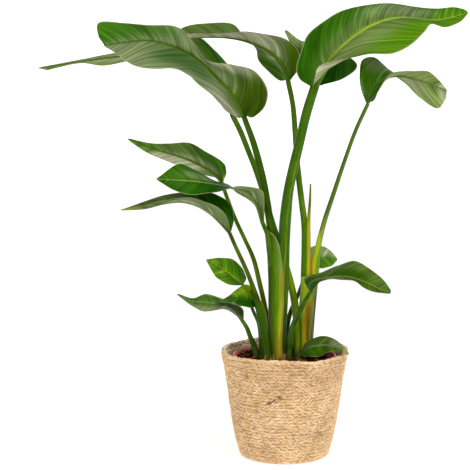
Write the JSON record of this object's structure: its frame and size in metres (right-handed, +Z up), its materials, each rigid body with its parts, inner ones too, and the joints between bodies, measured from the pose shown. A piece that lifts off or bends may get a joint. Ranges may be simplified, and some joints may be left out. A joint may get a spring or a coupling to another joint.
{
  "type": "potted bird of paradise plant",
  "caption": "Bird of paradise house plant with long paddle-shaped leaves on upright grooved stalks, standing in its nursery pot inside a braided straw basket.",
  "frame": {"origin": "centre of the basket's flat underside, on the surface it stands on", "axes": "+Z up out of the basket; -Y the side the plant is mostly looked at from; +X to the right seen from that side"},
  "size_m": [0.8019, 0.2458, 0.848],
  "materials": {
    "leaf": "satin",
    "stalk": "satin",
    "young_leaf": "satin",
    "braided_straw": "matte",
    "clear_film": "gloss",
    "terracotta_plastic": "matte",
    "potting_bark": "matte"
  },
  "bodies": {
    "root": {"blade_upper_left": "leaf", "blade_far_left": "leaf", "blade_top_back": "leaf", "blade_upper_right": "leaf", "blade_right_tall": "leaf", "blade_back": "leaf", "blade_mid_left_high": "leaf", "blade_mid_left_front": "leaf", "blade_mid_left_low": "leaf", "blade_small_left_high": "leaf", "blade_small_left_folded": "leaf", "blade_low_left": "leaf", "blade_low_right": "leaf", "blade_small_right_back": "leaf", "blade_rim_right": "leaf", "stalk_upper_left": "stalk", "stalk_far_left": "stalk", "stalk_top_back": "stalk", "stalk_upper_right": "stalk", "stalk_right_tall": "stalk", "stalk_back": "stalk", "stalk_mid_left_high": "stalk", "stalk_mid_left_front": "stalk", "stalk_mid_left_low": "stalk", "stalk_small_left_high": "stalk", "stalk_small_left_folded": "stalk", "stalk_low_left": "stalk", "stalk_low_right": "stalk", "stalk_small_right_back": "stalk", "stalk_rim_right": "stalk", "new_leaf_spear": "young_leaf", "basket": "braided_straw", "liner": "clear_film", "nursery_pot": "terracotta_plastic", "soil": "potting_bark"}
  },
  "joints": []
}
